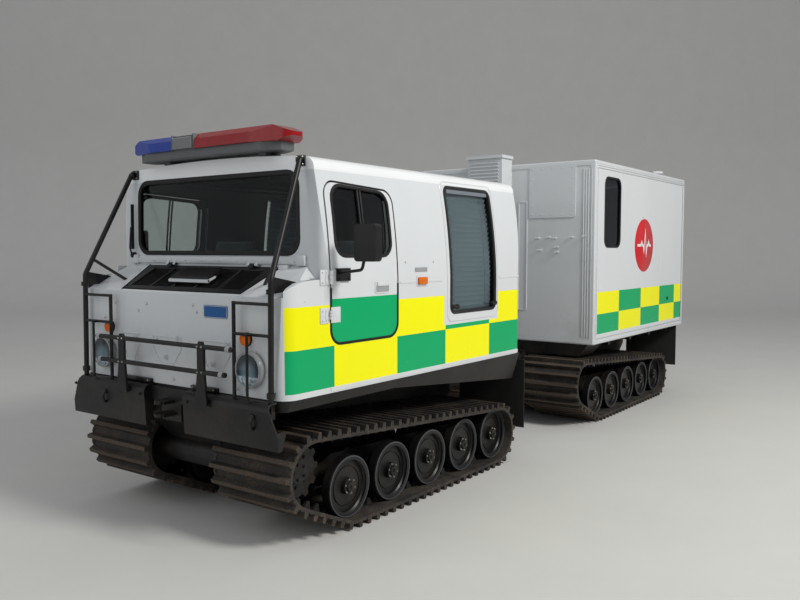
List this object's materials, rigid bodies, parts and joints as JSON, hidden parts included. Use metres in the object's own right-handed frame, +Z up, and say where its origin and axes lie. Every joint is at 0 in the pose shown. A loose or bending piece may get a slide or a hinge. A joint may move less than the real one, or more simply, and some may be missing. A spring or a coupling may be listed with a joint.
{
  "type": "two-car tracked ambulance carrier",
  "caption": "Two tracked cars, a cab with a patient bay and a box-bodied rear car, joined by a hydraulic steering pivot with pitch and roll.",
  "frame": {"origin": "under the middle of the whole vehicle, on the ground", "axes": "+X forward, +Y left, +Z up"},
  "size_m": [6.8999, 2.474, 2.6022],
  "materials": {
    "white_paint": "gloss white",
    "black_paint": "satin black",
    "track_rubber": "dusty rubber",
    "flap_rubber": "matt rubber",
    "window_glass": "tinted",
    "lamp_glass": "clear",
    "amber_lens": "gloss",
    "red_lens": "gloss",
    "blue_lens": "gloss",
    "grey_plastic": "matt",
    "dark_plastic": "matt",
    "seat_cloth": "woven",
    "engine_iron": "rough",
    "rod_chrome": "polished",
    "floor_ply": "ribbed vinyl"
  },
  "bodies": {
    "front_car": {"cab_roof": "white_paint", "nose_shell": "white_paint", "cab_rear_wall": "white_paint", "cab_sides": "white_paint", "wing_panels": "white_paint", "windscreen": "window_glass", "cab_windows": "window_glass", "front_hull": "black_paint", "engine_block": "engine_iron", "track_front_left": "track_rubber", "track_front_right": "track_rubber", "road_wheels_front": "black_paint", "sprockets_front": "black_paint", "running_beams_front": "black_paint", "mudflaps_front": "flap_rubber", "bumper": "black_paint", "guard_bars": "black_paint", "headlamps": "lamp_glass", "indicators": "amber_lens", "light_bar": "grey_plastic", "lens_red": "red_lens", "lens_blue": "blue_lens", "cab_seats": "seat_cloth", "dashboard": "dark_plastic", "steering_wheel": "dark_plastic"},
    "cab_door_left_body": {"cab_door_left": "white_paint", "door_glass_left": "window_glass", "mirror_left": "black_paint"},
    "cab_door_right_body": {"cab_door_right": "white_paint", "door_glass_right": "window_glass", "mirror_right": "black_paint"},
    "hatch_body": {"engine_hatch": "black_paint"},
    "yoke_body": {"front_yoke": "black_paint"},
    "link_body": {"centre_link": "black_paint"},
    "rear_car": {"rear_hull": "black_paint", "track_rear_left": "track_rubber", "track_rear_right": "track_rubber", "road_wheels_rear": "black_paint", "sprockets_rear": "black_paint", "running_beams_rear": "black_paint", "mudflaps_rear": "flap_rubber", "box_mouldings": "white_paint", "box_sides": "white_paint", "box_front_wall": "white_paint", "box_roof": "white_paint", "box_floor": "floor_ply", "box_windows": "window_glass", "rear_door_hinges": "white_paint", "vent_box": "white_paint", "stretcher": "seat_cloth"},
    "rear_door_left_body": {"rear_door_left": "white_paint", "rear_glass_left": "window_glass"},
    "rear_door_right_body": {"rear_door_right": "white_paint", "rear_glass_right": "window_glass"},
    "barrel_left_body": {"cylinder_barrel_left": "black_paint"},
    "barrel_right_body": {"cylinder_barrel_right": "black_paint"},
    "rod_left_body": {"cylinder_rod_left": "rod_chrome"},
    "rod_right_body": {"cylinder_rod_right": "rod_chrome"}
  },
  "joints": [
    {"name": "car_pitch", "type": "hinge", "parent": "front_car", "child": "yoke_body", "pos_m": [0.5225, 0, 0.56], "axis": [0, 1, 0], "range_deg": [-20, 20]},
    {"name": "steering_yaw", "type": "hinge", "parent": "yoke_body", "child": "link_body", "pos_m": [0.0925, 0, 0.56], "axis": [0, 0, 1], "range_deg": [-34, 34]},
    {"name": "car_roll", "type": "hinge", "parent": "link_body", "child": "rear_car", "pos_m": [-0.1, 0, 0.56], "axis": [1, 0, 0], "range_deg": [-40, 40]},
    {"name": "cab_door_left", "type": "hinge", "parent": "front_car", "child": "cab_door_left_body", "pos_m": [2.961, 0.949, 1.4], "axis": [0, 0, -1], "range_deg": [0, 75]},
    {"name": "cab_door_right", "type": "hinge", "parent": "front_car", "child": "cab_door_right_body", "pos_m": [2.961, -0.949, 1.4], "axis": [0, 0, 1], "range_deg": [0, 75]},
    {"name": "hood_hatch", "type": "hinge", "parent": "front_car", "child": "hatch_body", "pos_m": [3.02, 0, 1.587], "axis": [0, -1, 0], "range_deg": [0, 40]},
    {"name": "rear_door_left", "type": "hinge", "parent": "rear_car", "child": "rear_door_left_body", "pos_m": [-3.441, 0.931, 1.65], "axis": [0, 0, -1], "range_deg": [0, 110]},
    {"name": "rear_door_right", "type": "hinge", "parent": "rear_car", "child": "rear_door_right_body", "pos_m": [-3.441, -0.931, 1.65], "axis": [0, 0, 1], "range_deg": [0, 110]},
    {"name": "barrel_swing_left", "type": "hinge", "parent": "yoke_body", "child": "barrel_left_body", "pos_m": [0.4225, 0.175, 0.56], "axis": [0, 0, 1], "range_deg": [-10, 10]},
    {"name": "barrel_swing_right", "type": "hinge", "parent": "yoke_body", "child": "barrel_right_body", "pos_m": [0.4225, -0.175, 0.56], "axis": [0, 0, 1], "range_deg": [-10, 10]},
    {"name": "rod_stroke_left", "type": "slide", "parent": "barrel_left_body", "child": "rod_left_body", "axis": [-0.9934, -0.1146, 0], "range_m": [-0.085, 0.085]},
    {"name": "rod_stroke_right", "type": "slide", "parent": "barrel_right_body", "child": "rod_right_body", "axis": [-0.9934, 0.1146, 0], "range_m": [-0.085, 0.085]}
  ],
  "couplings": [
    {"joint": "barrel_swing_left", "follows": "steering_yaw", "ratio": 0.1008},
    {"joint": "barrel_swing_right", "follows": "steering_yaw", "ratio": 0.1008},
    {"joint": "rod_stroke_left", "follows": "steering_yaw", "m_per_rad": 0.13251},
    {"joint": "rod_stroke_right", "follows": "steering_yaw", "m_per_rad": -0.13251}
  ]
}
